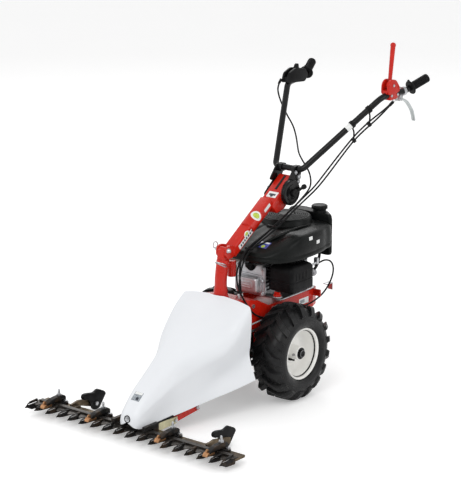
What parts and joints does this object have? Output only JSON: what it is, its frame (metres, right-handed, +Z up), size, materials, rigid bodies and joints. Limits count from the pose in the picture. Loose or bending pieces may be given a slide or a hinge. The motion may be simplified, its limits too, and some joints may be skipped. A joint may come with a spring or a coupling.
{
  "type": "walk-behind sickle bar brush mower",
  "caption": "Walk-behind brush mower: front sickle bar under a tapered hood, engine over two lugged wheels, raised handlebar with levers.",
  "frame": {"origin": "on the ground, below the middle of the machine's box", "axes": "+X to the operator's left, +Y from the cutter bar towards the operator, +Z up"},
  "size_m": [0.85, 1.37, 1.164],
  "materials": {
    "red_paint": "gloss powder coat",
    "black_paint": "gloss",
    "black_casting": "oily",
    "bar_steel": "oiled",
    "knife_steel": "oiled",
    "brass": "satin",
    "zinc": "zinc plated",
    "yellow_zinc": "yellow passivated",
    "hood_plastic": "satin",
    "rim_paint": "satin",
    "tyre": "matt",
    "engine_plastic": "satin",
    "filter_plastic": "grained",
    "engine_alloy": "die cast",
    "cover_alloy": "satin",
    "steel": "turned",
    "muffler_steel": "heat darkened",
    "belt_rubber": "matt",
    "grip_rubber": "satin",
    "cable_black": "satin",
    "lever_alloy": "cast",
    "red_plastic": "gloss",
    "black_plastic": "satin",
    "gear_bronze": "machined"
  },
  "bodies": {
    "chassis": {"cutter_bar": "bar_steel", "guard_fingers": "black_casting", "clamp_arms": "black_casting", "clamp_shoes": "brass", "skid_arms": "bar_steel", "skid_shoes": "black_plastic", "bar_mount": "black_casting", "stay_brackets": "yellow_zinc", "stays": "red_paint", "front_beam": "black_paint", "frame_bolts": "zinc", "hood": "hood_plastic", "deck": "red_paint", "side_plates": "red_paint", "post": "red_paint", "column": "red_paint", "eccentric_housing": "black_casting", "gearbox_case": "engine_alloy", "blade_belt": "belt_rubber", "traction_belt": "belt_rubber", "bearings": "steel", "crankcase": "engine_alloy", "cylinder_head": "cover_alloy", "valve_cover": "cover_alloy", "shroud": "engine_plastic", "fuel_tank": "engine_plastic", "air_filter_box": "filter_plastic", "muffler": "muffler_steel", "carburettor": "cover_alloy", "starter_grip": "black_plastic", "cables_lower": "cable_black"},
    "knife": {"knife_sections": "knife_steel", "knife_back": "knife_steel"},
    "rocker": {"rocker_arm": "black_casting"},
    "blade_shaft": {"eccentric_shaft": "steel", "blade_pulley": "steel"},
    "wheels": {"axle_shaft": "steel", "worm_wheel": "gear_bronze", "rims": "rim_paint", "tyres": "tyre"},
    "worm": {"worm_shaft": "steel", "traction_pulley": "steel"},
    "engine_shaft": {"crankshaft": "steel", "engine_pulley": "steel"},
    "blade_tensioner": {"blade_idler": "steel"},
    "traction_tensioner": {"traction_idler": "steel"},
    "handles": {"handlebar": "black_paint", "handlebar_yoke": "black_paint", "grips": "grip_rubber", "lever_housing": "red_plastic", "clutch_bracket": "zinc", "throttle_box": "black_plastic", "cables_upper": "cable_black", "cable_clips": "black_plastic"},
    "blade_control": {"blade_lever": "red_plastic"},
    "clutch_control": {"clutch_lever": "lever_alloy"},
    "throttle_control": {"throttle_lever": "black_plastic"},
    "tilt_lock": {"lock_lever": "black_plastic"},
    "fuel_filler": {"fuel_cap": "engine_plastic"},
    "oil_filler": {"oil_cap": "red_plastic"}
  },
  "joints": [
    {"name": "knife_slide", "type": "slide", "parent": "chassis", "child": "knife", "axis": [1, 0, 0], "range_m": [-0.025, 0.025]},
    {"name": "rocker_swing", "type": "hinge", "parent": "chassis", "child": "rocker", "pos_m": [0, -0.43, 0.07], "axis": [0, 0, 1], "range_deg": [-8, 8]},
    {"name": "blade_shaft_spin", "type": "hinge", "parent": "chassis", "child": "blade_shaft", "pos_m": [0, -0.27, 0.2], "axis": [0, 0, 1], "continuous": true},
    {"name": "wheels_spin", "type": "hinge", "parent": "chassis", "child": "wheels", "pos_m": [0, 0.026, 0.165], "axis": [1, 0, 0], "continuous": true},
    {"name": "worm_spin", "type": "hinge", "parent": "chassis", "child": "worm", "pos_m": [0, -0.036, 0.2], "axis": [0, 0, 1], "continuous": true},
    {"name": "engine_spin", "type": "hinge", "parent": "chassis", "child": "engine_shaft", "pos_m": [0, 0.219, 0.38], "axis": [0, 0, 1], "continuous": true},
    {"name": "blade_tension", "type": "hinge", "parent": "chassis", "child": "blade_tensioner", "pos_m": [0.066, -0.032, 0.27], "axis": [0, 0, 1], "range_deg": [-6, 0]},
    {"name": "traction_tension", "type": "hinge", "parent": "chassis", "child": "traction_tensioner", "pos_m": [-0.068, 0.15, 0.28], "axis": [0, 0, 1], "range_deg": [0, 6]},
    {"name": "handlebar_tilt", "type": "hinge", "parent": "chassis", "child": "handles", "pos_m": [0, 0.164, 0.678], "axis": [1, 0, 0], "range_deg": [-12, 12]},
    {"name": "blade_lever_pull", "type": "hinge", "parent": "handles", "child": "blade_control", "pos_m": [0.205, 0.512, 1.018], "axis": [1, 0, 0], "range_deg": [-40, 0], "stiffness_Nm_per_rad": 0.6, "springref_deg": 28.65},
    {"name": "clutch_lever_pull", "type": "hinge", "parent": "handles", "child": "clutch_control", "pos_m": [0.206, 0.566, 0.963], "axis": [1, 0, 0], "range_deg": [0, 22], "stiffness_Nm_per_rad": 0.6, "springref_deg": -22.92},
    {"name": "throttle_turn", "type": "hinge", "parent": "handles", "child": "throttle_control", "pos_m": [-0.207, 0.52, 1.024], "axis": [1, 0, 0], "range_deg": [-25, 25]},
    {"name": "tilt_lock_turn", "type": "hinge", "parent": "chassis", "child": "tilt_lock", "pos_m": [0.058, 0.164, 0.678], "axis": [1, 0, 0], "range_deg": [0, 22]},
    {"name": "fuel_cap_turn", "type": "hinge", "parent": "chassis", "child": "fuel_filler", "pos_m": [0.056, 0.315, 0.6], "axis": [0, 0, 1], "range_deg": [0, 120]},
    {"name": "oil_cap_turn", "type": "hinge", "parent": "chassis", "child": "oil_filler", "pos_m": [0.1, 0.019, 0.356], "axis": [0, 0, 1], "range_deg": [0, 120]}
  ],
  "couplings": [
    {"joint": "rocker_swing", "follows": "knife_slide", "rad_per_m": 5.5556},
    {"joint": "worm_spin", "follows": "wheels_spin", "ratio": 30},
    {"joint": "blade_tension", "follows": "blade_lever_pull", "ratio": 0.15},
    {"joint": "traction_tension", "follows": "clutch_lever_pull", "ratio": 0.2142}
  ]
}
